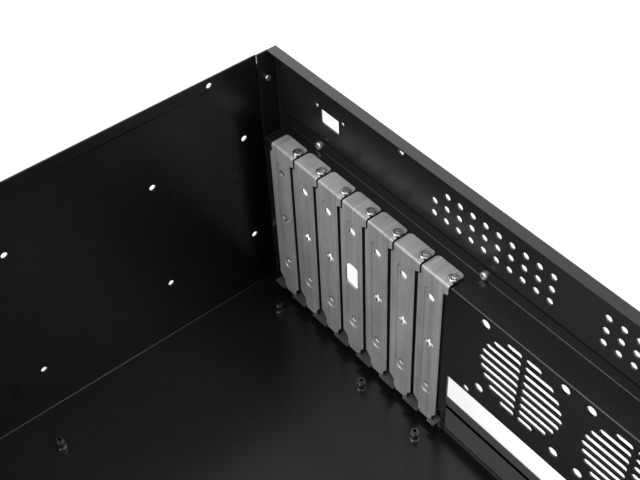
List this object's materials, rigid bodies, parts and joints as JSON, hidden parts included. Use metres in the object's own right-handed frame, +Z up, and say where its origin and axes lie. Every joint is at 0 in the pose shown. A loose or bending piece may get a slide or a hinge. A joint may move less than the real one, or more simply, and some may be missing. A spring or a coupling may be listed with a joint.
{
  "type": "rackmount server case",
  "caption": "Open-top rack-mount server case in folded black sheet steel with expansion-slot covers, connector and supply openings, fan grilles, vents and a front plate with ears and handles.",
  "frame": {"origin": "centre of the bounding box's bottom face", "axes": "+X to the right seen from the front, +Y to the rear, +Z up"},
  "size_m": [0.4826, 0.491, 0.177],
  "materials": {
    "black_coat": "satin black powder coat on sheet steel",
    "front_coat": "satin black powder coat on steel plate",
    "zinc_plate": "dull zinc-plated steel, fine rolling lines",
    "screw_steel": "bright zinc-plated",
    "dark_screw": "black-oxide steel",
    "dark_hex": "blackened steel",
    "handle_metal": "satin aluminium",
    "button_plastic": "fine-grained",
    "holder_plastic": "moulded",
    "green_lens": "clear tinted, unlit",
    "amber_lens": "clear tinted, unlit"
  },
  "bodies": {
    "case": {"chassis_tray": "black_coat", "rear_panel": "black_coat", "slot_panel": "black_coat", "tongue_strip": "zinc_plate", "slot_cover_1": "zinc_plate", "slot_cover_2": "zinc_plate", "slot_cover_3": "zinc_plate", "slot_cover_4": "zinc_plate", "slot_cover_5": "zinc_plate", "slot_cover_6": "zinc_plate", "slot_cover_7": "zinc_plate", "slot_screws": "screw_steel", "lip_screws": "screw_steel", "left_flange_screw": "screw_steel", "right_flange_screw": "screw_steel", "board_standoffs": "dark_hex", "front_panel": "front_coat", "front_screws": "dark_screw", "handle_screws": "screw_steel", "front_crossbar": "black_coat", "handle_left": "handle_metal", "handle_right": "handle_metal", "switch_holder": "holder_plastic", "power_lamp": "green_lens", "drive_lamp": "amber_lens"},
    "power_key": {"power_button": "button_plastic"},
    "reset_key": {"reset_button": "button_plastic"}
  },
  "joints": [
    {"name": "power_press", "type": "slide", "parent": "case", "child": "power_key", "axis": [0, 1, 0], "range_m": [0, 0.0025], "stiffness_N_per_m": 400},
    {"name": "reset_press", "type": "slide", "parent": "case", "child": "reset_key", "axis": [0, 1, 0], "range_m": [0, 0.0025], "stiffness_N_per_m": 300}
  ]
}
